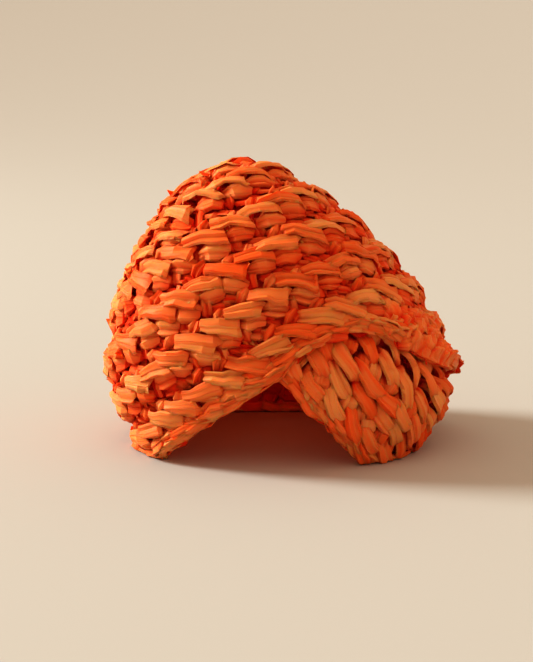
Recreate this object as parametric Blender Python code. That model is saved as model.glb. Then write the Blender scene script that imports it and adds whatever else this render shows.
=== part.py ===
"""A crocheted turban hat of raffia ribbon, standing on its rim.

One thick crocheted fabric makes the hat in two wraps. The outer wrap forms the crown and crosses the
front, and the under wrap comes out below it as the right-hand band. Where they part at the front they
leave an arch. Units are metres, +Z is up and -Y is the front.
"""

import math
from collections import namedtuple

import bmesh
import bpy
import numpy as np

# Fabric
FABRIC_WALL = 0.0055
RIB_RELIEF = 0.003
LAYER_GAP = 0.001

# Outer form of the whole hat: at each height, how far it reaches to the left, right, front and back,
# and how square its outline is, where 2 is an ellipse
Section = namedtuple("Section", "height left right front back squareness")
CROWN_SECTIONS = (
    Section(0.000, -0.099, 0.097, -0.083, 0.086, 2.9),
    Section(0.015, -0.108, 0.108, -0.089, 0.094, 2.7),
    Section(0.032, -0.116, 0.119, -0.095, 0.100, 2.5),
    Section(0.050, -0.122, 0.122, -0.099, 0.103, 2.3),
    Section(0.068, -0.121, 0.119, -0.101, 0.103, 2.2),
    Section(0.086, -0.118, 0.111, -0.100, 0.102, 2.2),
    Section(0.104, -0.114, 0.100, -0.097, 0.099, 2.2),
    Section(0.122, -0.107, 0.086, -0.090, 0.093, 2.2),
    Section(0.140, -0.098, 0.070, -0.080, 0.084, 2.2),
    Section(0.158, -0.088, 0.052, -0.066, 0.072, 2.2),
    Section(0.172, -0.077, 0.034, -0.052, 0.059, 2.2),
    Section(0.184, -0.061, 0.015, -0.036, 0.044, 2.2),
    Section(0.193, -0.045, -0.002, -0.020, 0.028, 2.2),
    Section(0.199, -0.024, -0.024, 0.004, 0.004, 2.2),
)

# Rows of stitches lie in planes across a tilted axis through the middle of the hat
HAT_MIDDLE = np.array((-0.008, 0.0, 0.070))
OUTER_AXIS = (-0.60, 0.35, 1.0)
OUTER_PITCH = 0.02875
OUTER_RIB_AT = 0.044
UNDER_AXIS = (0.95, 0.35, 1.0)
UNDER_PITCH = 0.0255
UNDER_RIB_AT = 0.0175

# Free edge of the outer wrap: turn about its axis in degrees, and rise along it
EdgePoint = namedtuple("EdgePoint", "turn rise")
OUTER_EDGE = (
    EdgePoint(-160, -0.0370),
    EdgePoint(-90, -0.0345),
    EdgePoint(-80, -0.0285),
    EdgePoint(-56, -0.0285),
    EdgePoint(-45, -0.0395),
    EdgePoint(-35, -0.0530),
    EdgePoint(-28, -0.0655),
    EdgePoint(-17, -0.0750),
    EdgePoint(-4, -0.0790),
)
EDGE_LIFT = 0.003
EDGE_LIFT_WIDTH = 0.025
LIFT_FROM_TURN = -88.0
LIFT_TO_TURN = 75.0

# The under wrap starts and ends hidden beneath the outer wrap
UNDER_EDGE_RISE = -0.0235
UNDER_FROM_TURN = -111.0
UNDER_TO_TURN = 44.0
UNDER_TUCK = 0.042
UNDER_FREE_SINK = 0.0015
SINK_STARTS = 0.020
SINK_ENDS = 0.002

# Fineness of the solids
ROWS_PER_RIB = 4
OUTER_COLUMNS = 60
UNDER_COLUMNS = 26
CAP_RISE = 0.094
CAP_ROWS = 7
LOWEST_RISE = -0.125
HIGHEST_RISE = 0.110
BISECTIONS = 30
REACH = 0.26
MERGE_DISTANCE = 0.0004
HALF = 0.5
FLOOR_MARGIN = 0.00001
SMALLEST_SQUARE = 1e-9
SHALLOWEST_SLOPE = 0.1
NORMAL_STEP = 0.001

# Finish
ORANGE = (0.83, 0.16, 0.02, 1.0)
RAFFIA_ROUGHNESS = 0.55
SHARP_ANGLE = 50.0


def unit(vector):
    vector = np.array(vector, dtype=float)
    return vector / np.linalg.norm(vector)


def smooth_step(low, high, value):
    """0 below low, 1 above high, and a smooth ramp between them."""
    t = np.clip((value - low) / (high - low), 0.0, 1.0)
    return t * t * (3.0 - 2.0 * t)


def crown_outline(height):
    """Centre, squared half-widths and squareness of the hat's outline, smooth from section to section."""
    table = np.array(CROWN_SECTIONS)
    heights = table[:, 0]
    lows = table[:, (1, 3)]
    highs = table[:, (2, 4)]
    values = np.hstack(((lows + highs) / 2, ((highs - lows) / 2) ** 2, table[:, 5:]))
    slopes = np.gradient(values, heights, axis=0)
    height = np.clip(height, heights[0], heights[-1])
    row = np.clip(np.searchsorted(heights, height) - 1, 0, len(heights) - 2)
    span = (heights[row + 1] - heights[row])[:, None]
    t = (height - heights[row])[:, None] / span
    found = (
        values[row] * (2 * t**3 - 3 * t**2 + 1)
        + slopes[row] * span * (t**3 - 2 * t**2 + t)
        + values[row + 1] * (3 * t**2 - 2 * t**3)
        + slopes[row + 1] * span * (t**3 - t**2)
    )
    return found[:, 0:2], np.maximum(found[:, 2:4], SMALLEST_SQUARE), found[:, 4:]


def outside_crown(points):
    """Above 0 outside the hat's outer form, and below 0 inside it."""
    centre, squares, squareness = crown_outline(points[:, 2])
    across = np.abs(points[:, 0:2] - centre) / np.sqrt(squares)
    excess = (across**squareness).sum(axis=1) - 1.0
    return np.where(points[:, 2] > CROWN_SECTIONS[-1].height, 1.0, excess)


def crown_normals(points):
    """Directions square to the crown, pointing out of the hat."""
    slopes = []
    for direction in np.eye(3):
        ahead = outside_crown(points + direction * NORMAL_STEP)
        behind = outside_crown(points - direction * NORMAL_STEP)
        slopes.append(ahead - behind)
    slopes = np.array(slopes).T
    return slopes / np.linalg.norm(slopes, axis=1)[:, None]


def sunk(points, depth):
    """The points moved into the hat, square to the crown, and level where they stand on the floor."""
    normals = crown_normals(points)
    level = normals * (1.0, 1.0, 0.0)
    along_floor = level / np.maximum((level**2).sum(axis=1), SHALLOWEST_SLOPE)[:, None]
    stands = points[:, 2:3] < FLOOR_MARGIN
    return points - np.where(stands, along_floor, normals) * depth[:, None]


def swollen(points, relief):
    """The points moved out of the hat, but never towards the floor."""
    normals = crown_normals(points)
    normals[:, 2] = np.maximum(normals[:, 2], 0.0)
    return points + normals * relief[:, None]


class Rows:
    """A family of rows of stitches, each in a plane across one tilted axis."""

    def __init__(self, axis, pitch, rib_at):
        self.up = unit(axis)
        self.right = unit(np.cross((0.0, 1.0, 0.0), self.up))
        self.away = np.cross(self.up, self.right)
        self.pitch = pitch
        self.rib_at = rib_at

    def on_crown(self, turn, rise, tilt):
        """Where rays from the axis meet the crown: turn and tilt in degrees, rise along the axis."""
        turn = np.radians(turn)[:, None]
        tilt = np.radians(tilt)[:, None]
        level = self.right * np.cos(turn) + self.away * np.sin(turn)
        directions = level * np.cos(tilt) + self.up * np.sin(tilt)
        starts = HAT_MIDDLE + self.up * rise[:, None]
        near = np.zeros(len(starts))
        far = np.full(len(starts), REACH)
        for _ in range(BISECTIONS):
            middle = (near + far) / 2
            within = outside_crown(starts + directions * middle[:, None]) < 0
            near = np.where(within, middle, near)
            far = np.where(within, far, middle)
        return starts + directions * near[:, None]

    def turn_of(self, points):
        from_middle = points - HAT_MIDDLE
        return np.degrees(np.arctan2(from_middle @ self.away, from_middle @ self.right))

    def rise_of(self, points):
        return (points - HAT_MIDDLE) @ self.up

    def relief(self, points):
        phase = 2 * math.pi * (self.rise_of(points) - self.rib_at) / self.pitch
        return RIB_RELIEF * (0.5 + 0.5 * np.cos(phase))

    def levels(self, lowest, highest):
        """Rises from below lowest to highest, in step with the ribs."""
        step = self.pitch / ROWS_PER_RIB
        first = math.floor((lowest - self.rib_at) / step)
        last = math.floor((highest - self.rib_at) / step)
        return self.rib_at + step * np.arange(first, last + 1)

    def first_rise_where(self, turn, is_past):
        """The rise on each column above which is_past holds."""
        low = np.full(len(turn), LOWEST_RISE)
        high = np.full(len(turn), HIGHEST_RISE)
        for _ in range(BISECTIONS):
            middle = (low + high) / 2
            past = is_past(self.on_crown(turn, middle, np.zeros(len(turn))))
            low = np.where(past, low, middle)
            high = np.where(past, middle, high)
        return high


OUTER_ROWS = Rows(OUTER_AXIS, OUTER_PITCH, OUTER_RIB_AT)
UNDER_ROWS = Rows(UNDER_AXIS, UNDER_PITCH, UNDER_RIB_AT)


def above_floor(points):
    return points[:, 2] > 0.0


def outer_edge_rise(turn):
    edge = np.array(OUTER_EDGE)
    return np.interp(turn, edge[:, 0], edge[:, 1])


def above_outer_edge(points):
    """Height of the points above the outer wrap's free edge, along that wrap's axis."""
    return OUTER_ROWS.rise_of(points) - outer_edge_rise(OUTER_ROWS.turn_of(points))


def put_on_floor(points):
    """The points of the rim made exactly level with the floor."""
    points[:, 2] = np.where(points[:, 2] < FLOOR_MARGIN, 0.0, points[:, 2])
    return points


def outer_faces(turn, rise, tilt):
    """Outer and inner face of the outer wrap at the given places of its grid."""
    floor_rise = OUTER_ROWS.first_rise_where(turn, above_floor)
    edge_rise = outer_edge_rise(turn)
    rise = np.maximum(rise, np.maximum(floor_rise, edge_rise))
    crown = put_on_floor(OUTER_ROWS.on_crown(turn, rise, tilt))
    near_edge = 1.0 - smooth_step(0.0, EDGE_LIFT_WIDTH, rise - edge_rise)
    over_under_wrap = (turn > LIFT_FROM_TURN) & (turn < LIFT_TO_TURN)
    lift = EDGE_LIFT * near_edge * over_under_wrap
    outer = swollen(crown, OUTER_ROWS.relief(crown) + lift)
    inner = sunk(crown, FABRIC_WALL - lift)
    return outer, inner


def under_faces(turn, rise, tilt):
    """Outer and inner face of the under wrap, which sinks below the outer wrap where they cross."""
    floor_rise = UNDER_ROWS.first_rise_where(turn, above_floor)
    lowest = np.maximum(floor_rise, UNDER_EDGE_RISE)
    highest = UNDER_ROWS.first_rise_where(turn, lambda points: above_outer_edge(points) > UNDER_TUCK)
    rise = np.minimum(np.maximum(rise, lowest), np.maximum(highest, lowest))
    crown = put_on_floor(UNDER_ROWS.on_crown(turn, rise, tilt))
    covered = smooth_step(-SINK_STARTS, -SINK_ENDS, above_outer_edge(crown))
    covered_sink = FABRIC_WALL + RIB_RELIEF + LAYER_GAP
    sink = UNDER_FREE_SINK + (covered_sink - UNDER_FREE_SINK) * covered
    outer = swollen(sunk(crown, sink), UNDER_ROWS.relief(crown))
    inner = sunk(crown, sink + FABRIC_WALL)
    return outer, inner


def wrap_mesh(turns, rises, tilts, faces_at):
    """Closed mesh of a wrap: a grid laid on the crown, merged where it closes, then given its wall."""
    mesh = bmesh.new()
    inner_place = mesh.verts.layers.float_vector.new("inner_place")
    columns = len(turns) - 1
    rows = len(rises) - 1
    bmesh.ops.create_grid(mesh, x_segments=columns, y_segments=rows, size=HALF)
    column = [round((vert.co.x + HALF) * columns) for vert in mesh.verts]
    row = [round((vert.co.y + HALF) * rows) for vert in mesh.verts]
    outer, inner = faces_at(turns[column], rises[row], tilts[row])
    for vert, outer_point, inner_point in zip(mesh.verts, outer, inner):
        vert.co = outer_point
        vert[inner_place] = inner_point
    bmesh.ops.remove_doubles(mesh, verts=mesh.verts, dist=MERGE_DISTANCE)
    sheet = mesh.verts[:] + mesh.edges[:] + mesh.faces[:]
    wall = bmesh.ops.extrude_face_region(mesh, geom=sheet, use_keep_orig=True)
    for item in wall["geom"]:
        if isinstance(item, bmesh.types.BMVert):
            item.co = item[inner_place]
    bmesh.ops.recalc_face_normals(mesh, faces=mesh.faces)
    return mesh


def outer_wrap():
    """Crown, front and left side: rows that close round a point at the upper left back."""
    turns = np.linspace(-180.0, 180.0, OUTER_COLUMNS + 1)
    ring_rises = OUTER_ROWS.levels(OUTER_EDGE[-1].rise, CAP_RISE)
    cap_tilts = np.linspace(0.0, 90.0, CAP_ROWS + 1)[1:]
    rises = np.concatenate((ring_rises, np.full(CAP_ROWS, ring_rises[-1])))
    tilts = np.concatenate((np.zeros(len(ring_rises)), cap_tilts))
    return wrap_mesh(turns, rises, tilts, outer_faces)


def under_wrap():
    """The right-hand band, with its front edge on the arch and its upper edge tucked away."""
    turns = np.linspace(UNDER_FROM_TURN, UNDER_TO_TURN, UNDER_COLUMNS + 1)
    rises = UNDER_ROWS.levels(UNDER_EDGE_RISE, HIGHEST_RISE)
    return wrap_mesh(turns, rises, np.zeros(len(rises)), under_faces)


def raffia(name):
    material = bpy.data.materials.new(name)
    material.use_nodes = True
    shader = material.node_tree.nodes["Principled BSDF"]
    shader.inputs["Base Color"].default_value = ORANGE
    shader.inputs["Roughness"].default_value = RAFFIA_ROUGHNESS
    shader.inputs["Metallic"].default_value = 0.0
    return material


def add_piece(name, mesh):
    data = bpy.data.meshes.new(name)
    mesh.to_mesh(data)
    mesh.free()
    data.shade_smooth()
    data.set_sharp_from_angle(angle=math.radians(SHARP_ANGLE))
    data.materials.append(raffia(name + "_raffia"))
    piece = bpy.data.objects.new(name, data)
    bpy.context.scene.collection.objects.link(piece)


def main():
    for old in list(bpy.data.objects):
        bpy.data.objects.remove(old)
    outer = outer_wrap()
    under = under_wrap()
    places = np.array([vert.co for mesh in (outer, under) for vert in mesh.verts])
    middle = (places.min(axis=0) + places.max(axis=0)) / 2
    for mesh in (outer, under):
        bmesh.ops.translate(mesh, verts=mesh.verts, vec=(-middle[0], -middle[1], 0.0))
    add_piece("outer_wrap", outer)
    add_piece("under_wrap", under)


main()
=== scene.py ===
import math
import random
from collections import namedtuple

import bmesh
import bpy
import numpy as np
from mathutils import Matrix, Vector, noise
from mathutils.bvhtree import BVHTree


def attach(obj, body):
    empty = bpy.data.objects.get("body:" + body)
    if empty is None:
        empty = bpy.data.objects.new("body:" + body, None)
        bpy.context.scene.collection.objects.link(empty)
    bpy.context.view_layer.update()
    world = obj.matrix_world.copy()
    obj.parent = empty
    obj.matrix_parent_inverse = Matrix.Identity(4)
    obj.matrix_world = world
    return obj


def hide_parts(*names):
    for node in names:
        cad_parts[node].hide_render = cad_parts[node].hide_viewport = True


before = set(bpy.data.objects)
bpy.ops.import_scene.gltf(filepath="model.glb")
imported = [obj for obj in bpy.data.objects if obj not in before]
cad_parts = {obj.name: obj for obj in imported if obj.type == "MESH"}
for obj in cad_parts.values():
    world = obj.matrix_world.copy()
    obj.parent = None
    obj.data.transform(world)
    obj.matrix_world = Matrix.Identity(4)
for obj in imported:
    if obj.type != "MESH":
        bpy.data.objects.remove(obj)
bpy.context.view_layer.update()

# Camera, a little above the hat and straight in front of it, as in the photograph.
# A long lens, more than a metre off, aimed at the middle of the hat.
CAMERA_DISTANCE = 1.13
CAMERA_ANGLE = math.radians(10.5)
aim = Vector((-0.0101, -0.0010, 0.0785))
backwards = Vector((0, -math.cos(CAMERA_ANGLE), math.sin(CAMERA_ANGLE)))
camera = bpy.data.objects.new("camera", bpy.data.cameras.new("camera"))
camera.data.sensor_fit = "AUTO"
camera.data.sensor_width = 36.0
camera.data.lens = 85.0
camera.location = aim + backwards * CAMERA_DISTANCE
camera.rotation_euler = (-backwards).to_track_quat("-Z", "Y").to_euler()
bpy.context.scene.collection.objects.link(camera)
bpy.context.scene.camera = camera

# Studio: a round floor that rises gently all the way round, like a wide shallow dish.
# Matt board painted a light, even grey, which the warm sky over it turns to cream.
FLOOR_RADIUS = 2.0
FLOOR_DROP = 0.0002
CURVE_RADIUS = 20.0
CURVE_STEPS = 18
CURVE_STEP = 2
STUDIO_SIDES = 96
profile = [(0.0, 0.0), (FLOOR_RADIUS, 0.0)]
for step in range(1, CURVE_STEPS + 1):
    swing = math.radians(step * CURVE_STEP)
    out = FLOOR_RADIUS + CURVE_RADIUS * math.sin(swing)
    profile.append((out, CURVE_RADIUS - CURVE_RADIUS * math.cos(swing)))
studio_mesh = bmesh.new()
studio_grid = bmesh.ops.create_grid(studio_mesh, x_segments=STUDIO_SIDES, y_segments=len(profile) - 1,
                                    size=0.5)["verts"]
for number, vert in enumerate(studio_grid):
    ring, side = divmod(number, STUDIO_SIDES + 1)
    angle = math.tau * side / STUDIO_SIDES
    out, height = profile[ring]
    vert.co = (out * math.cos(angle), out * math.sin(angle), height - FLOOR_DROP)
bmesh.ops.remove_doubles(studio_mesh, verts=studio_mesh.verts, dist=1e-5)
bmesh.ops.recalc_face_normals(studio_mesh, faces=studio_mesh.faces)
bmesh.ops.reverse_faces(studio_mesh, faces=studio_mesh.faces)
studio_data = bpy.data.meshes.new("studio")
studio_mesh.to_mesh(studio_data)
studio_mesh.free()
studio_data.shade_smooth()
studio = bpy.data.objects.new("studio", studio_data)
bpy.context.scene.collection.objects.link(studio)
board = bpy.data.materials.new("board")
board.use_nodes = True
board_paint = board.node_tree.nodes["Principled BSDF"]
board_paint.inputs["Base Color"].default_value = (0.520, 0.520, 0.530, 1)
board_paint.inputs["Roughness"].default_value = 0.9
studio_data.materials.append(board)

# Daylight: a warm sky, with a low, soft sun and a window on the left, which fades to the right.
# The glow, a small red lamp under the crown, stands for the daylight that comes through the raffia.
WHITE_DAY = (0.95, 1.0, 0.90)
RAFFIA_GLOW = (1.0, 0.22, 0.06)
sky = bpy.data.worlds.new("world")
bpy.context.scene.world = sky
sky.use_nodes = True
sky.node_tree.nodes["Background"].inputs["Color"].default_value = (1.0, 0.74, 0.51, 1)
sky.node_tree.nodes["Background"].inputs["Strength"].default_value = 0.66
bpy.context.scene.view_settings.view_transform = "Standard"
bpy.context.scene.view_settings.look = "High Contrast"


def light(name, kind, place, target, power, colour):
    """A lamp at a place that shines at a target."""
    lamp = bpy.data.lights.new(name, kind)
    lamp.energy = power
    lamp.color = colour
    holder = bpy.data.objects.new(name, lamp)
    holder.location = place
    holder.rotation_euler = (Vector(target) - Vector(place)).to_track_quat("-Z", "Y").to_euler()
    bpy.context.scene.collection.objects.link(holder)
    return lamp


sun = light("sun", "SUN", place=(-3.80, 0.90, 2.05), target=aim, power=2.3, colour=WHITE_DAY)
sun.angle = math.radians(17)
window = light("window", "AREA", place=(-2.60, 0.62, 1.42), target=aim, power=22, colour=WHITE_DAY)
window.size = 0.9
glow = light("glow", "AREA", place=(-0.01, 0.0, 0.13), target=(-0.01, 0.0, 0.0), power=0.024,
             colour=RAFFIA_GLOW)
glow.size = 0.08

# Rows of the outer wrap: single crochet in wide flat raffia, one piece for each row, from the rim up.
# Each stitch is a folded bar over a pillow, with a lead-in, three legs in the valley below and three
# flatter ribbons inside. Where the way down to the next row is long, two courses of stitches fill it.

# The raffia, orange and satin and a little translucent, with fine grain along each ribbon.
# Ribbons differ in tone. Where they lie low or in a fold they get a painted shade of deep red, and they are
# duller there.
RAFFIA_RED = (0.93, 0.150, 0.030, 1)
RAFFIA_ORANGE = (0.90, 0.345, 0.120, 1)
PAINTED_SHADE_RED = (0.93, 0.10, 0.03, 1)
GRAIN_FINENESS = (700, 45, 37)
raffia = bpy.data.materials.new("raffia")
raffia.use_nodes = True
parts = raffia.node_tree.nodes
join = raffia.node_tree.links.new


def attribute(name):
    """What the ribbons carry at each vertex under that name."""
    reader = parts.new("ShaderNodeAttribute")
    reader.attribute_name = name
    return reader


def spread(from_low, from_high, to_low, to_high):
    """Turns one range of values into another."""
    node = parts.new("ShaderNodeMapRange")
    node.inputs["From Min"].default_value = from_low
    node.inputs["From Max"].default_value = from_high
    node.inputs["To Min"].default_value = to_low
    node.inputs["To Max"].default_value = to_high
    return node


shader = parts["Principled BSDF"]
shader.inputs["Specular IOR Level"].default_value = 0.14
shader.inputs["Subsurface Weight"].default_value = 0.5
shader.inputs["Subsurface Radius"].default_value = (1.0, 0.10, 0.02)
shader.inputs["Subsurface Scale"].default_value = 0.004
tone_read = attribute("tone")
fibre_read = attribute("fibre")
painted_shade_read = attribute("painted_shade")
dye = parts.new("ShaderNodeValToRGB")
dye.color_ramp.elements[0].color = RAFFIA_RED
dye.color_ramp.elements[1].color = RAFFIA_ORANGE
# painted shade: the colour is darkened to deep red where a ribbon lies low or in a fold
painted_shade_mix = parts.new("ShaderNodeMix")
painted_shade_mix.data_type = "RGBA"
painted_shade_mix.blend_type = "MULTIPLY"
painted_shade_mix.inputs["B"].default_value = PAINTED_SHADE_RED
join(painted_shade_read.outputs["Fac"], painted_shade_mix.inputs["Factor"])
join(dye.outputs["Color"], painted_shade_mix.inputs["A"])
join(painted_shade_mix.outputs["Result"], shader.inputs["Base Color"])
dulling = spread(from_low=0.0, from_high=0.8, to_low=0.5, to_high=0.9)
join(painted_shade_read.outputs["Fac"], dulling.inputs["Value"])
join(dulling.outputs["Result"], shader.inputs["Roughness"])
fineness = parts.new("ShaderNodeMapping")
fineness.inputs["Scale"].default_value = GRAIN_FINENESS
join(fibre_read.outputs["Vector"], fineness.inputs["Vector"])
grain = parts.new("ShaderNodeTexNoise")
grain.inputs["Scale"].default_value = 1.0
grain.inputs["Detail"].default_value = 3
join(fineness.outputs["Vector"], grain.inputs["Vector"])
grain_tone = spread(from_low=0.3, from_high=0.7, to_low=-0.3, to_high=0.3)
join(grain.outputs["Fac"], grain_tone.inputs["Value"])
streaked = parts.new("ShaderNodeMath")
join(tone_read.outputs["Fac"], streaked.inputs[0])
join(grain_tone.outputs["Result"], streaked.inputs[1])
join(streaked.outputs["Value"], dye.inputs["Fac"])
furrows = parts.new("ShaderNodeBump")
furrows.inputs["Strength"].default_value = 1.0
furrows.inputs["Distance"].default_value = 0.0015
join(grain.outputs["Fac"], furrows.inputs["Height"])
join(furrows.outputs["Normal"], shader.inputs["Normal"])

# The crown that the stitches sit on: rays from the tilted axis of a wrap to the wrap's inner face.
# Turns and tilts are in degrees, rises and the other lengths in metres.
MM = 0.001
HAT_MIDDLE = np.array((-0.00859, -0.00099, 0.070))
CROWN_WALL = 0.0055
CROWN_REACH = 0.3
NEIGHBOUR_TURN = 4
NEIGHBOUR_TILT = 5
NEIGHBOUR_RISE = 0.006
NEAR_ALONG = 0.016
NEAR_ACROSS = 0.022
STEEPEST = 0.07
HOLLOWEST = -12.0
ROUNDEST = 30.0
Seat = namedtuple("Seat", "place along across out bend_along bend_across")


def unit(arrow):
    arrow = np.array(arrow, float)
    return arrow / np.linalg.norm(arrow)


def mirrored(middle, one, other, reach):
    """Both neighbours of a place, where one is missing the other's mirror image."""
    if one is not None and np.linalg.norm(one - middle) > reach:
        one = None
    if other is not None and np.linalg.norm(other - middle) > reach:
        other = None
    if one is None and other is None:
        return None, None
    if one is None:
        one = 2 * middle - other
    if other is None:
        other = 2 * middle - one
    return one, other


def roundness(one, middle, other, out):
    """How much the crown curves away between two neighbours, per metre."""
    half = np.linalg.norm(other - one) / 2
    return max(HOLLOWEST, min(ROUNDEST, -float((one + other - 2 * middle) @ out) / half ** 2))


class Rows:
    """The crochet rows of one wrap, as turns and rises about a tilted axis."""

    def __init__(self, node, axis):
        self.node = node
        merged = bmesh.new()
        merged.from_mesh(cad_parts[node].data)
        bmesh.ops.remove_doubles(merged, verts=merged.verts, dist=1e-6)
        self.tree = BVHTree.FromBMesh(merged)
        merged.free()
        self.up = unit(axis)
        self.right = unit(np.cross((0.0, 1.0, 0.0), self.up))
        self.away = np.cross(self.up, self.right)

    def way(self, turn):
        """The way out from the axis at that turn."""
        swing = math.radians(turn)
        return self.right * math.cos(swing) + self.away * math.sin(swing)

    def inner(self, turn, rise, tilt=0.0):
        """The wrap's inner face, seen from the axis at that rise."""
        lift = math.radians(tilt)
        arrow = self.way(turn) * math.cos(lift) + self.up * math.sin(lift)
        found = self.tree.ray_cast(Vector(HAT_MIDDLE + self.up * rise), Vector(arrow), CROWN_REACH)[0]
        return None if found is None else np.array(found)

    def seat(self, turn, rise, tilt=0.0):
        """Where a stitch sits on the crown, with its directions and the crown's bends."""
        middle = self.inner(turn, rise, tilt)
        if middle is None:
            return None
        reach = NEIGHBOUR_TURN / max(STEEPEST, math.cos(math.radians(tilt)))
        before, after = self.inner(turn - reach, rise, tilt), self.inner(turn + reach, rise, tilt)
        if tilt:
            below, above = (self.inner(turn, rise, tilt - NEIGHBOUR_TILT),
                            self.inner(turn, rise, tilt + NEIGHBOUR_TILT))
        else:
            below, above = self.inner(turn, rise - NEIGHBOUR_RISE), self.inner(turn, rise + NEIGHBOUR_RISE)
        before, after = mirrored(middle, before, after, NEAR_ALONG)
        below, above = mirrored(middle, below, above, NEAR_ACROSS)
        if before is None or below is None:
            return None
        along = unit(after - before)
        out = unit(np.cross(along, above - below))
        across = np.cross(out, along)
        return Seat(middle + out * CROWN_WALL, along, across, out,
                    roundness(before, middle, after, out), roundness(below, middle, above, out))


outer = Rows("outer_wrap", (-0.60, 0.35, 1.0))

# The ribbons of a stitch. A bend gives the ribbon's place along, across and out from the stitch's
# middle and its width, all in mm, and its roll in degrees.
Bend = namedtuple("Bend", "along across out width roll")
Strand = namedtuple("Strand", "bends steps crisp cut thick height folds depth")
BAR = Strand((
    Bend(-7.0, 3.4, -4.6, 8.0, 0),
    Bend(-11.6, 4.8, -3.0, 8.4, 0),
    Bend(-13.0, 5.2, -0.6, 8.6, 0),
    Bend(-12.0, 5.0, 1.9, 9.0, -2),
    Bend(-6.5, 3.1, 3.4, 9.4, -4),
    Bend(-0.5, 0.8, 3.8, 10.6, -10),
    Bend(5.5, -1.8, 3.4, 12.6, -14),
    Bend(10.6, -4.0, 2.5, 14.0, -12),
    Bend(12.6, -4.8, 1.7, 14.2, -8),
    Bend(12.9, -4.9, 1.6, 14.2, -6),
), steps=1, crisp=True, cut=True, thick=0.6, height=1.0, folds=2, depth=1.0)
PILLOW = Strand((
    Bend(-5.6, -4.6, -5.4, 6.0, 0),
    Bend(-6.6, -5.6, -1.6, 8.6, 4),
    Bend(-1.6, -7.6, 0.8, 13.4, 10),
    Bend(4.4, -10.0, 0.9, 13.8, 16),
    Bend(9.4, -12.4, -1.2, 9.0, 10),
    Bend(9.4, -13.2, -6.0, 6.0, 0),
), steps=1, crisp=True, cut=False, thick=0.6, height=1.4, folds=2, depth=0.9)
LEAD_IN = Strand((
    Bend(-22.0, 0.6, -5.5, 5.0, 0),
    Bend(-19.6, 3.2, -1.4, 6.6, 10),
    Bend(-16.4, 6.6, 1.0, 8.0, 15),
    Bend(-12.6, 9.2, 0.2, 6.0, 5),
    Bend(-11.2, 10.0, -5.0, 4.0, 0),
), steps=1, crisp=True, cut=False, thick=0.6, height=0.8, folds=2, depth=0.9)
SIDE_LEG = Strand((
    Bend(16.4, 1.5, -5.0, 7.0, 0),
    Bend(15.0, -2.5, -2.4, 8.6, 14),
    Bend(13.6, -8.0, -1.6, 9.0, 26),
    Bend(12.8, -14.0, -2.2, 8.4, 14),
    Bend(12.6, -17.0, -6.0, 6.0, 0),
), steps=1, crisp=True, cut=False, thick=0.6, height=0.8, folds=2, depth=0.9)
LOW_LEG = Strand((
    Bend(-8.0, -11.5, -5.0, 6.0, 0),
    Bend(-4.0, -14.5, -3.2, 9.6, -20),
    Bend(1.0, -18.0, -2.4, 10.2, -25),
    Bend(5.0, -21.5, -3.2, 9.6, -10),
    Bend(7.0, -24.0, -6.0, 5.0, 0),
), steps=1, crisp=True, cut=False, thick=0.6, height=0.8, folds=2, depth=1.0)
NEXT_LEG = Strand((
    Bend(2.0, -13.5, -5.0, 6.0, 0),
    Bend(4.5, -16.5, -3.4, 8.6, -20),
    Bend(9.0, -19.5, -2.6, 9.2, -25),
    Bend(13.0, -22.0, -3.4, 8.6, -10),
    Bend(15.0, -24.0, -6.0, 5.0, 0),
), steps=1, crisp=True, cut=False, thick=0.6, height=0.8, folds=2, depth=1.0)


def inside_ribbon(*bends):
    """A flatter ribbon on the inside of the hat, with its pleats turned to the head."""
    return Strand(bends, steps=1, crisp=False, cut=False, thick=0.8, height=-0.8, folds=2, depth=0.4)


INSIDE = (
    inside_ribbon(Bend(-11, -9, -3, 8, 0), Bend(-9, -7, -5.3, 11, 0), Bend(0, 1, -6.2, 13, 0),
                  Bend(9, 8, -5.3, 11, 0), Bend(11, 10, -3, 8, 0)),
    inside_ribbon(Bend(11, -18, -3, 8, 0), Bend(9, -15, -5.1, 11, 0), Bend(2, -9, -5.9, 12, 0),
                  Bend(-7, -3, -5.1, 11, 0), Bend(-9, -1, -3, 8, 0)),
    inside_ribbon(Bend(-9, -24, -3, 8, 0), Bend(-7, -22, -5.3, 11, 0), Bend(1, -17, -6.0, 12, 0),
                  Bend(9, -12, -5.3, 11, 0), Bend(11, -11, -3, 8, 0)),
)
STITCH = (BAR, PILLOW, LEAD_IN, SIDE_LEG, LOW_LEG, NEXT_LEG) + INSIDE

# Folding one ribbon: how far it is shaken at each bend, and how its fold lines, pleats and dents vary.
STRAIGHTNESS = 0.8
SLACK = 0.2
CREASE = 0.06
CUT_EDGE = 0.45
BEND_SHAKE = np.array((0.8, 0.8, 0.4, 0, 11))
WIDTH_SHAKE = 0.1
FOLD_SPREAD = 0.55
FOLD_PLACE = (0.15, 0.85)
FOLD_DRIFT = 0.3
DRIFT_START = 0.3
FOLD_HEIGHT = (0.35, 1.1)
HEM = (0.68, 0.85)
CREST = 0.9
PLEAT = (0.4, 1.2)
LEAST_PLEAT = 0.35
GATHER = (0.5, 1.3)
DENT = (0.15, 0.55)
END_BLUNTNESS = 9
EDGE_BLUNTNESS = 5
UNDERSIDE = np.array((0.5, 0.0, -0.5))
UNDERSIDE_LIFT = 0.5


def curve(bends, steps, crisp):
    """Places on a curve through the bends, between a smooth one and straight lines."""
    straight = STRAIGHTNESS if crisp else SLACK
    knots = np.array(bends, float)
    knots = np.vstack((2 * knots[0] - knots[1], knots, 2 * knots[-1] - knots[-2]))
    spans = len(bends) - 1
    reach = np.linspace(0, spans, spans * steps + 1)
    span = np.minimum(reach.astype(int), spans - 1)
    part = (reach - span)[:, None]
    a, b, c, d = knots[span], knots[span + 1], knots[span + 2], knots[span + 3]
    smooth = 0.5 * (2 * b + (c - a) * part + (2 * a - 5 * b + 4 * c - d) * part ** 2
                    + (3 * b - a - 3 * c + d) * part ** 3)
    return smooth * (1 - straight) + (b + (c - b) * part) * straight


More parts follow.
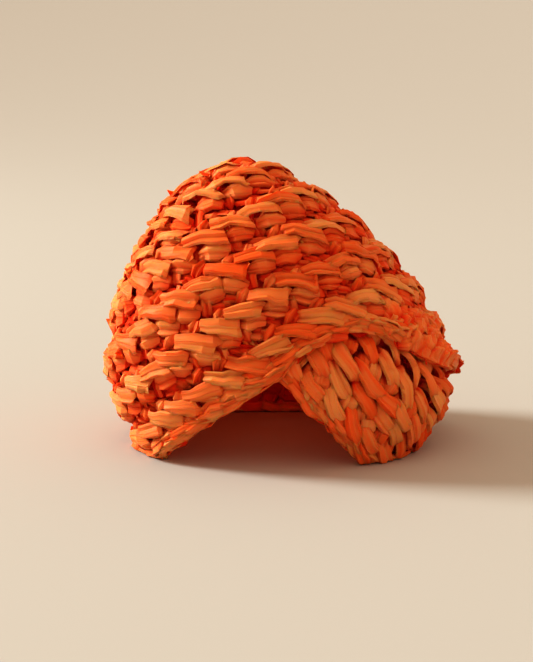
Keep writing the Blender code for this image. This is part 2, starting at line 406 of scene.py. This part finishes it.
def folded_ribbon(chance, strand, crush):
    """Places round a closed ribbon with pleats along it, and how deep each lies in a fold."""
    shake = np.array([[chance.uniform(-1, 1) for _ in range(5)] for _ in strand.bends])
    bends = np.array(strand.bends, float) + shake * BEND_SHAKE
    bends[:, 3] *= 1 + WIDTH_SHAKE * shake[:, 3]
    course = curve(bends, strand.steps, strand.crisp)
    rows = len(course)
    ease = np.linspace(0, 1, rows)
    middle = course[:, :3]
    ahead = np.gradient(middle, axis=0)
    ahead /= np.linalg.norm(ahead, axis=1)[:, None]
    chord = middle[-1] - middle[0]
    side = unit((-chord[1], chord[0], 0))
    wide = side - (ahead @ side)[:, None] * ahead
    wide /= np.linalg.norm(wide, axis=1)[:, None]
    face = np.cross(ahead, wide)
    roll = np.radians(course[:, 4])[:, None]
    wide, face = wide * np.cos(roll) + face * np.sin(roll), face * np.cos(roll) - wide * np.sin(roll)
    # fold lines over the ribbon's width, with their heights: one crest and pleats beside it
    inner = [-FOLD_SPREAD + 2 * FOLD_SPREAD * (fold + chance.uniform(*FOLD_PLACE)) / strand.folds
             for fold in range(strand.folds)]
    lines = np.array([-1.0, chance.uniform(-HEM[1], -HEM[0])] + inner + [chance.uniform(*HEM), 1.0])
    drift = np.array([0, 0] + [chance.uniform(-FOLD_DRIFT, FOLD_DRIFT) for _ in inner] + [0, 0])
    raised = [strand.height * chance.uniform(*FOLD_HEIGHT) for _ in range(strand.folds + 2)]
    raised[chance.randrange(strand.folds + 2)] += strand.height * CREST
    raised = np.array([0.0] + raised + [0.0])
    turn = chance.choice((-1, 1))
    pleats = [turn * (-1) ** fold * strand.depth * chance.uniform(*PLEAT) for fold in range(strand.folds)]
    pleats = np.array([0.0, 0.0] + pleats + [0.0, 0.0])
    gather = chance.uniform(*GATHER)
    crumple = strand.depth * chance.uniform(*DENT) * crush
    ends = np.sqrt(np.clip(1 - np.abs(2 * ease - 1) ** END_BLUNTNESS, 0, 1))
    half = course[:, 3] / 2 * (np.where(ease > 0.5, 1.0, ends) if strand.cut else ends)
    thin = np.maximum(ends, np.where(ease > 0.5, CUT_EDGE, 0.0)) if strand.cut else ends
    places, deep = [], []
    for row in range(rows):
        at = lines + drift * (ease[row] - DRIFT_START)
        if strand.crisp:
            beside = [line + nudge for line in at[1:-1] for nudge in (-CREASE, 0, CREASE)]
            over = np.sort(np.array([-1.0] + beside + [1.0]))
        else:
            over = at
        dents = np.array([chance.uniform(-1, 1) for _ in at]) * crumple
        pleat = np.interp(over, at, pleats * (LEAST_PLEAT + gather * (1 - ease[row])) + dents)
        lift = strand.thick / 2 * (1 - np.abs(over) ** EDGE_BLUNTNESS) + np.interp(over, at, raised) + pleat
        sag = -strand.thick / 2 + UNDERSIDE_LIFT * np.interp(UNDERSIDE, at, raised)
        across = np.concatenate((over, UNDERSIDE, over[:1])) * half[row]
        height = np.concatenate((lift, sag, lift[:1])) * thin[row]
        places.append(middle[row] + wide[row] * across[:, None] + face[row] * height[:, None])
        deep.append(np.concatenate((-pleat, (1, 1, 1), -pleat[:1])))
    return np.array(places), np.array(deep)


# Laying the ribbons on the crown, with the tone, the painted shade and the fibre place that the raffia reads.
FLOOR_GAP = 0.0004
PAINTED_SHADE_START = 0.34
PAINTED_SHADE_IN_FOLD = 0.26
PAINTED_SHADE_PER_MM = 0.15
EVEN_HEIGHT = 1.2
DARKEST = 0.85
FIBRE_STEP = 1.6
CREASE_ANGLE = math.radians(22)


def fresh():
    """An empty mesh with a tone, a painted shade and a fibre place at each vertex."""
    mesh = bmesh.new()
    layers = (mesh.verts.layers.float.new("tone"), mesh.verts.layers.float.new("painted_shade"),
              mesh.verts.layers.float_vector.new("fibre"))
    return mesh, layers


def add_piece(mesh, name, node):
    """Makes the mesh a piece of the hat that takes that CAD node's place."""
    data = bpy.data.meshes.new(name)
    mesh.to_mesh(data)
    mesh.free()
    data.shade_smooth()
    data.set_sharp_from_angle(angle=CREASE_ANGLE)
    data.materials.append(raffia)
    piece = bpy.data.objects.new(name, data)
    bpy.context.scene.collection.objects.link(piece)
    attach(piece, "root")
    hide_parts(node)


def seated(places, seat, lean, size, stretch):
    """The places of a strand on the crown, in metres."""
    along = (places[..., 0] * math.cos(lean) - places[..., 1] * math.sin(lean)) * size * MM
    across = (places[..., 0] * math.sin(lean) + places[..., 1] * math.cos(lean)) * size * stretch * MM
    out = places[..., 2] * MM - (seat.bend_along * along ** 2 + seat.bend_across * across ** 2) / 2
    found = seat.place + along[..., None] * seat.along + across[..., None] * seat.across
    found = found + out[..., None] * seat.out
    found[..., 2] = np.maximum(found[..., 2], FLOOR_GAP)
    return found


def lay(mesh, layers, chance, strand, places, deep, heights):
    """Adds one ribbon to the mesh, from a grid whose long sides meet under it."""
    tone_layer, painted_shade_layer, fibre_layer = layers
    tone = chance.random()
    start = chance.uniform(0, 1)
    rows, columns = places.shape[:2]
    grid = bmesh.ops.create_grid(mesh, x_segments=columns - 1, y_segments=rows - 1, size=0.5)["verts"]
    width = strand.bends[2].width * 2 * MM / columns
    # painted shade: darker deeper in a fold and lower down, where the ribbons lie in shade
    painted_shade = np.clip(PAINTED_SHADE_START + PAINTED_SHADE_IN_FOLD * deep - PAINTED_SHADE_PER_MM * (heights - EVEN_HEIGHT), 0, DARKEST)
    for number, vert in enumerate(grid):
        row, column = divmod(number, columns)
        vert.co = places[row, column]
        vert[tone_layer] = tone
        vert[painted_shade_layer] = painted_shade[row, column]
        vert[fibre_layer] = (column * width, row * FIBRE_STEP * MM, start)
    bmesh.ops.remove_doubles(mesh, verts=grid, dist=1e-7)


def add_strand(mesh, layers, chance, strand, rows, seat, middle, lean, size, stretch, crush, loose):
    """Adds one strand whose middle sits on the seat, unless an end hangs looser off the wrap."""
    places, deep = folded_ribbon(chance, strand, crush)
    found = seated(places - np.append(middle, 0), seat, lean, size, stretch)
    ends = (Vector(found[0].mean(axis=0)), Vector(found[-1].mean(axis=0)))
    if max(rows.tree.find_nearest(end)[3] for end in ends) < loose:
        lay(mesh, layers, chance, strand, found, deep, places[..., 2])


# Crocheting a row. Widths, shifts and pitches are in mm, leans in degrees.
STITCH_WIDTH = 18.5
STITCH_SHIFT = (1.4, 1.2)
STITCH_LEAN = 15
STITCH_SIZE = (0.92, 1.12)
STITCH_SPACING = (0.96, 1.04)
BLIND_STEP = 9.0
SHORT_WAY = 0.85
LONG_WAY = 1.32
LOOSE_END = 0.0038
LOWEST_SEAT = 0.004
RowPlan = namedtuple("RowPlan", "rise tilt first last crush")
scratch = bpy.data.meshes.new("scratch")


def between(plan, below, part):
    """The plan of a course part of the way from a row to the row below."""
    return plan._replace(rise=plan.rise + (below.rise - plan.rise) * part,
                         tilt=plan.tilt + (below.tilt - plan.tilt) * part)


def add_stitch(mesh, chance, strands, rows, turn, turn_per_mm, plan, below, stretch, pitch):
    """Adds a stitch of several strands, each seated on the crown at its own middle."""
    shift = np.array((chance.uniform(-STITCH_SHIFT[0], STITCH_SHIFT[0]),
                      chance.uniform(-STITCH_SHIFT[1], STITCH_SHIFT[1])))
    lean = math.radians(chance.uniform(-STITCH_LEAN, STITCH_LEAN))
    size = chance.uniform(*STITCH_SIZE)
    turned = np.array(((math.cos(lean), -math.sin(lean)), (math.sin(lean), math.cos(lean))))
    small, layers = fresh()
    for strand in strands:
        middle = np.mean([bend[:2] for bend in strand.bends], axis=0)
        along, across = turned @ middle * size + shift
        spot = between(plan, below, -across / pitch)
        seat = rows.seat(turn + along * turn_per_mm, spot.rise, spot.tilt)
        if seat and seat.place[2] > LOWEST_SEAT:
            add_strand(small, layers, chance, strand, rows, seat, middle, lean, size, stretch,
                       plan.crush, LOOSE_END)
    cut_ends = [edge for edge in small.edges if edge.is_boundary]
    bmesh.ops.holes_fill(small, edges=cut_ends, sides=0)
    bmesh.ops.recalc_face_normals(small, faces=small.faces)
    small.to_mesh(scratch)
    small.free()
    mesh.from_mesh(scratch)


def stitched_row(name, rows, strands, pitch, plan, below, seed):
    """A row of stitches, in two courses half a stitch apart where the way to the row below is long."""
    chance = random.Random(seed)
    mesh, _ = fresh()
    turn = plan.first
    while turn < plan.last:
        here = rows.inner(turn, plan.rise, plan.tilt)
        after = rows.inner(turn + 1, plan.rise, plan.tilt)
        step = BLIND_STEP
        if here is not None and after is not None:
            step = STITCH_WIDTH * MM / np.linalg.norm(after - here)
            lower = rows.inner(turn, below.rise, below.tilt)
            reach = 1.0 if lower is None else np.linalg.norm(lower - here) / MM / pitch
            courses = 2 if reach > LONG_WAY else 1
            stretch = max(SHORT_WAY, min(LONG_WAY, reach / courses))
            for course in range(courses):
                top = between(plan, below, course / courses)
                foot = between(plan, below, (course + 1) / courses)
                add_stitch(mesh, chance, strands, rows, turn + step * 0.5 * course, step / STITCH_WIDTH,
                           top, foot, stretch, pitch)
        turn += step * chance.uniform(*STITCH_SPACING)
    add_piece(mesh, name, rows.node)


def stitched_wrap(name, rows, strands, pitch, plans, seed):
    """All rows of a wrap, each down to the one below it, and the first down past the rim."""
    rim = plans[0]._replace(rise=plans[0].rise - pitch * MM)
    for number, (plan, below) in enumerate(zip(plans, (rim,) + plans)):
        stitched_row("%s_%d" % (name, number + 1), rows, strands, pitch, plan, below, seed + number)


OUTER_PLANS = (
    RowPlan(-0.0745, 0, 9, 70, 2.0),
    RowPlan(-0.0458, 0, -36, 110, 2.0),
    RowPlan(-0.0170, 0, -166, 160, 2.0),
    RowPlan(0.0118, 0, -178, 181, 1.6),
    RowPlan(0.0405, 0, -181.6, 178, 1.0),
    RowPlan(0.0693, 0, -178, 181, 1.0),
    RowPlan(0.0980, 0, -178, 181, 1.0),
    RowPlan(0.0980, 20, -178, 180, 1.0),
    RowPlan(0.0980, 40, -178, 180, 1.0),
    RowPlan(0.0980, 59, -178, 175, 1.0),
    RowPlan(0.0980, 76, -178, 150, 1.0),
    RowPlan(0.0980, 88, -178, 150, 1.0),
)
OUTER_PITCH = 28.75
OUTER_SEED = 10
stitched_wrap("outer_row", outer, STITCH, OUTER_PITCH, OUTER_PLANS, OUTER_SEED)

# Rows of the under wrap, which comes up from the right and dives under the outer wrap.
# The same raffia pulled tighter: rope-like bars along the row with round pillows beside them.
# Its rows run round an axis that leans to the right, where the outer wrap's leans to the left.
under = Rows("under_wrap", (0.95, 0.35, 1.0))
ROPE_BAR = Strand((
    Bend(-9.6, 3.2, -4.8, 6.0, 0),
    Bend(-13.0, 4.0, -1.8, 7.6, 0),
    Bend(-10.6, 3.4, 2.0, 9.2, 0),
    Bend(-3.8, 0.6, 4.0, 10.4, -4),
    Bend(3.6, -1.4, 4.0, 11.0, -8),
    Bend(9.8, -2.0, 2.2, 9.8, -6),
    Bend(12.6, -2.6, -1.4, 7.6, 0),
    Bend(12.4, -2.8, -5.0, 6.0, 0),
), steps=2, crisp=False, cut=False, thick=0.8, height=1.9, folds=2, depth=0.8)
ROPE_TWIN = Strand((
    Bend(-2.6, -5.6, -4.8, 6.0, 0),
    Bend(-5.4, -6.0, -1.8, 7.4, 0),
    Bend(-3.2, -7.0, 1.0, 9.0, 0),
    Bend(3.6, -9.6, 2.8, 10.4, -4),
    Bend(10.6, -11.6, 2.6, 10.4, -8),
    Bend(16.0, -12.4, 0.6, 9.0, -6),
    Bend(18.4, -13.0, -2.4, 7.0, 0),
    Bend(18.2, -13.2, -5.2, 6.0, 0),
), steps=2, crisp=False, cut=False, thick=0.8, height=1.7, folds=2, depth=0.8)
ROUND_PILLOW = Strand((
    Bend(-4.0, -11.4, -4.6, 8.0, 0),
    Bend(-3.6, -13.2, -0.8, 10.6, 5),
    Bend(-2.0, -17.0, 1.4, 12.0, 10),
    Bend(0.4, -20.6, 0.6, 11.0, 10),
    Bend(1.4, -23.0, -4.6, 7.0, 0),
), steps=2, crisp=False, cut=False, thick=0.8, height=1.5, folds=2, depth=0.7)
CROSS_ROPE = Strand((
    Bend(6.0, -12.0, -5.0, 6.0, 0),
    Bend(7.0, -14.4, -1.4, 8.4, 10),
    Bend(9.6, -18.4, 0.6, 9.4, 0),
    Bend(13.0, -21.8, -1.0, 8.4, -10),
    Bend(14.0, -24.0, -5.0, 5.0, 0),
), steps=2, crisp=False, cut=False, thick=0.8, height=1.4, folds=2, depth=0.8)
TIGHT_STITCH = (ROPE_BAR, ROPE_TWIN, ROUND_PILLOW, CROSS_ROPE) + INSIDE
UNDER_PLANS = (
    RowPlan(-0.0100, 0, -83, 6, 1.0),
    RowPlan(0.0155, 0, -80, 20, 1.0),
    RowPlan(0.0410, 0, -70, 30, 1.0),
    RowPlan(0.0665, 0, -50, 40, 1.0),
    RowPlan(0.0790, 0, -60, 40, 1.0),
)
UNDER_PITCH = 25.5
UNDER_SEED = 40
stitched_wrap("under_row", under, TIGHT_STITCH, UNDER_PITCH, UNDER_PLANS, UNDER_SEED)

# Edges of both wraps: three chains of leaf-like bars, on the outer face, the rim and the inner face.
# Raffia, the last round of crochet along the arch, the overlap and the floor rim.
EDGE_BAR = Strand((
    Bend(-10.0, 0.6, -3.4, 5.0, 0),
    Bend(-12.0, 1.0, -1.2, 6.4, 0),
    Bend(-8.5, 1.2, 1.2, 8.4, 0),
    Bend(-1.5, 0.6, 2.4, 9.6, -4),
    Bend(5.5, -0.6, 2.0, 9.4, -6),
    Bend(10.5, -1.4, 0.2, 7.6, -4),
    Bend(12.4, -1.8, -3.4, 5.4, 0),
), steps=1, crisp=True, cut=False, thick=0.8, height=1.1, folds=2, depth=0.8)
EDGE_TURNS = (15, 90, 165)
EDGE_STEP = 15.5
EDGE_HALF = 0.00275
EDGE_RISE = 0.0032
EDGE_INSET = 0.0006
EDGE_LEAN = 8
EDGE_SIZE = (0.93, 1.1)
EDGE_NEIGHBOUR = 2
EDGE_LOOSE = 5 * LOOSE_END
EDGE_TOP = 0.09
EDGE_BOTTOM = -0.125
EDGE_SEARCH = 0.003
EDGE_HALVINGS = 10


def lower_edge(rows, turn):
    """The rise of the wrap's lower edge, or of the floor, at that turn."""
    rises = [rise for rise in np.arange(EDGE_TOP, EDGE_BOTTOM, -EDGE_SEARCH)
             if rows.inner(turn, rise) is not None]
    if not rises:
        return None
    held, missed = rises[-1], rises[-1] - EDGE_SEARCH
    for _ in range(EDGE_HALVINGS):
        middle = (held + missed) / 2
        if rows.inner(turn, middle) is None:
            missed = middle
        else:
            held = middle
    return held


def edge_chain(name, rows, first, last, seed):
    """Three chains of bars round the lower edge of a wrap, wherever it runs."""
    chance = random.Random(seed)
    line = []
    for turn in np.arange(first, last + 0.1, 1.0):
        rise = lower_edge(rows, turn)
        if rise is None:
            continue
        seat = rows.seat(turn, rise + EDGE_INSET)
        if seat:
            line.append(seat)
    mesh, layers = fresh()
    for lane, roll in enumerate(EDGE_TURNS):
        walked = EDGE_STEP * lane / len(EDGE_TURNS)
        for number in range(EDGE_NEIGHBOUR, len(line) - EDGE_NEIGHBOUR):
            walked += np.linalg.norm(line[number].place - line[number - 1].place) / MM
            if walked < EDGE_STEP:
                continue
            walked -= EDGE_STEP
            seat = line[number]
            along = unit(line[number + EDGE_NEIGHBOUR].place - line[number - EDGE_NEIGHBOUR].place)
            out = unit(seat.out - (seat.out @ along) * along)
            across = np.cross(out, along)
            heart = seat.place - out * EDGE_HALF + across * EDGE_RISE
            swing = math.radians(roll)
            out, across = (out * math.cos(swing) - across * math.sin(swing),
                           across * math.cos(swing) + out * math.sin(swing))
            turned = Seat(heart + out * EDGE_HALF, along, across, out, seat.bend_along * math.cos(swing), 0.0)
            lean = math.radians(chance.uniform(-EDGE_LEAN, EDGE_LEAN))
            size = chance.uniform(*EDGE_SIZE)
            add_strand(mesh, layers, chance, EDGE_BAR, rows, turned, (0, 0), lean, size,
                       1.0, 1.0, EDGE_LOOSE)
    bmesh.ops.recalc_face_normals(mesh, faces=mesh.faces)
    add_piece(mesh, name, rows.node)


edge_chain("outer_edge_front", outer, first=-178, last=-34, seed=70)
edge_chain("outer_edge_back", outer, first=-9, last=180, seed=72)
edge_chain("under_edge", under, first=-111, last=44, seed=71)

# Lobe at the free end of the outer wrap, low on the right, where the crochet is bunched up.
# Crushed raffia, a closed cushion of small pillows with creases between them, which folds
# round the wrap's rim.
LOBE_COLUMNS = 64
LOBE_LINES = 40
LOBE_TALL = 0.036
LOBE_LIFT = 0.001
LOBE_DROOP = 0.004
LOBE_BORDER = 7
# sizes of its pillows, wrinkles, frayed places and patches of tone, in mm
LOBE_PILLOW = 11
LOBE_WRINKLE = 4.5
LOBE_FRAY = 5
LOBE_PATCH = 12
# how far a pillow is pushed about, how high and steep it is, and how deep a wrinkle cuts in
LOBE_PUSH = 5
LOBE_ROOF = 1.6
LOBE_SLOPE = 4.5
LOBE_CUT = 1.6
# how far it puffs out on the outside and the inside, sways and frays, in mm
LOBE_PUFF = 2.6
LOBE_INSIDE_PUFF = 1.0
LOBE_SWAY = 2
LOBE_FRAYING = 1.5
# middle and range of its tone and painted shade, and its fibre place: two lengths in metres and a start
LOBE_TONE = 0.6
LOBE_TONE_RANGE = 0.7
LOBE_PAINTED_SHADE = 0.42
LOBE_PAINTED_SHADE_RANGE = 0.40
LOBE_FIBRE = (0.09, 0.06, 0.5)
MM_PER_METRE = 1000


def outer_face(rows, turn, rise):
    """The wrap's outer face at a turn and rise, and the way out from the axis there."""
    way = rows.way(turn)
    start = HAT_MIDDLE + rows.up * rise + way * CROWN_REACH
    found = rows.tree.ray_cast(Vector(start), Vector(-way), CROWN_REACH)[0]
    return (None if found is None else np.array(found)), way


def crushed_lobe(name, rows, first, last, seed):
    """A crushed cushion of raffia round the wrap's lower edge."""
    noise.seed_set(seed)
    mesh, (tone_layer, painted_shade_layer, fibre_layer) = fresh()
    grid = bmesh.ops.create_grid(mesh, x_segments=LOBE_COLUMNS, y_segments=2 * LOBE_LINES, size=0.5)["verts"]
    held = None
    for number, vert in enumerate(grid):
        line, column = divmod(number, LOBE_COLUMNS + 1)
        part, level = column / LOBE_COLUMNS, min(line, 2 * LOBE_LINES - line) / LOBE_LINES
        turn = first + (last - first) * part
        rise = lower_edge(rows, turn) + LOBE_LIFT + LOBE_TALL * level
        inside = rows.inner(turn, rise)
        outside, way = outer_face(rows, turn, rise)
        # where a ray misses the wrap, the last place found stands in
        if inside is not None and outside is not None:
            held = (inside, outside, (inside + outside) / 2)
        inside, outside, heart = held
        at = Vector(heart) * MM_PER_METRE + Vector((seed, 2.0 * seed, 0))
        wide, fine = noise.noise_vector(at / LOBE_PILLOW), noise.noise_vector(at / LOBE_FRAY)
        cells = noise.voronoi((at + wide * LOBE_PUSH) / LOBE_PILLOW)[0]
        ridge = min(LOBE_ROOF, LOBE_SLOPE * (cells[1] - cells[0]))
        ridge -= abs(noise.noise(at / LOBE_WRINKLE)) * LOBE_CUT
        border = min(1.0, LOBE_BORDER * min(part, 1 - part, level, 1 - level))
        if line < LOBE_LINES:
            face = outside + way * (LOBE_PUFF + LOBE_PUFF * ridge + fine.z) * MM
        else:
            face = inside - way * (LOBE_INSIDE_PUFF + LOBE_INSIDE_PUFF * ridge) * MM
        shift = Vector((wide.x * LOBE_SWAY + fine.x * LOBE_FRAYING,
                        wide.y * LOBE_SWAY + fine.y * LOBE_FRAYING,
                        wide.z * LOBE_SWAY + fine.z)) * MM
        droop = Vector(rows.up) * -LOBE_DROOP * (1 - level) ** 2
        vert.co = Vector(heart + (face - heart) * border) + shift * border + droop
        vert[tone_layer] = LOBE_TONE + LOBE_TONE_RANGE * noise.noise(at / LOBE_PATCH)
        # painted shade: darker in the creases and wrinkles between the pillows, lighter on their tops
        vert[painted_shade_layer] = max(0.0, min(DARKEST, LOBE_PAINTED_SHADE - LOBE_PAINTED_SHADE_RANGE * ridge))
        vert[fibre_layer] = (part * LOBE_FIBRE[0], level * LOBE_FIBRE[1], LOBE_FIBRE[2])
    bmesh.ops.remove_doubles(mesh, verts=mesh.verts, dist=1e-5)
    bmesh.ops.recalc_face_normals(mesh, faces=mesh.faces)
    add_piece(mesh, name, rows.node)


crushed_lobe("outer_lobe", outer, first=-39, last=-4, seed=80)
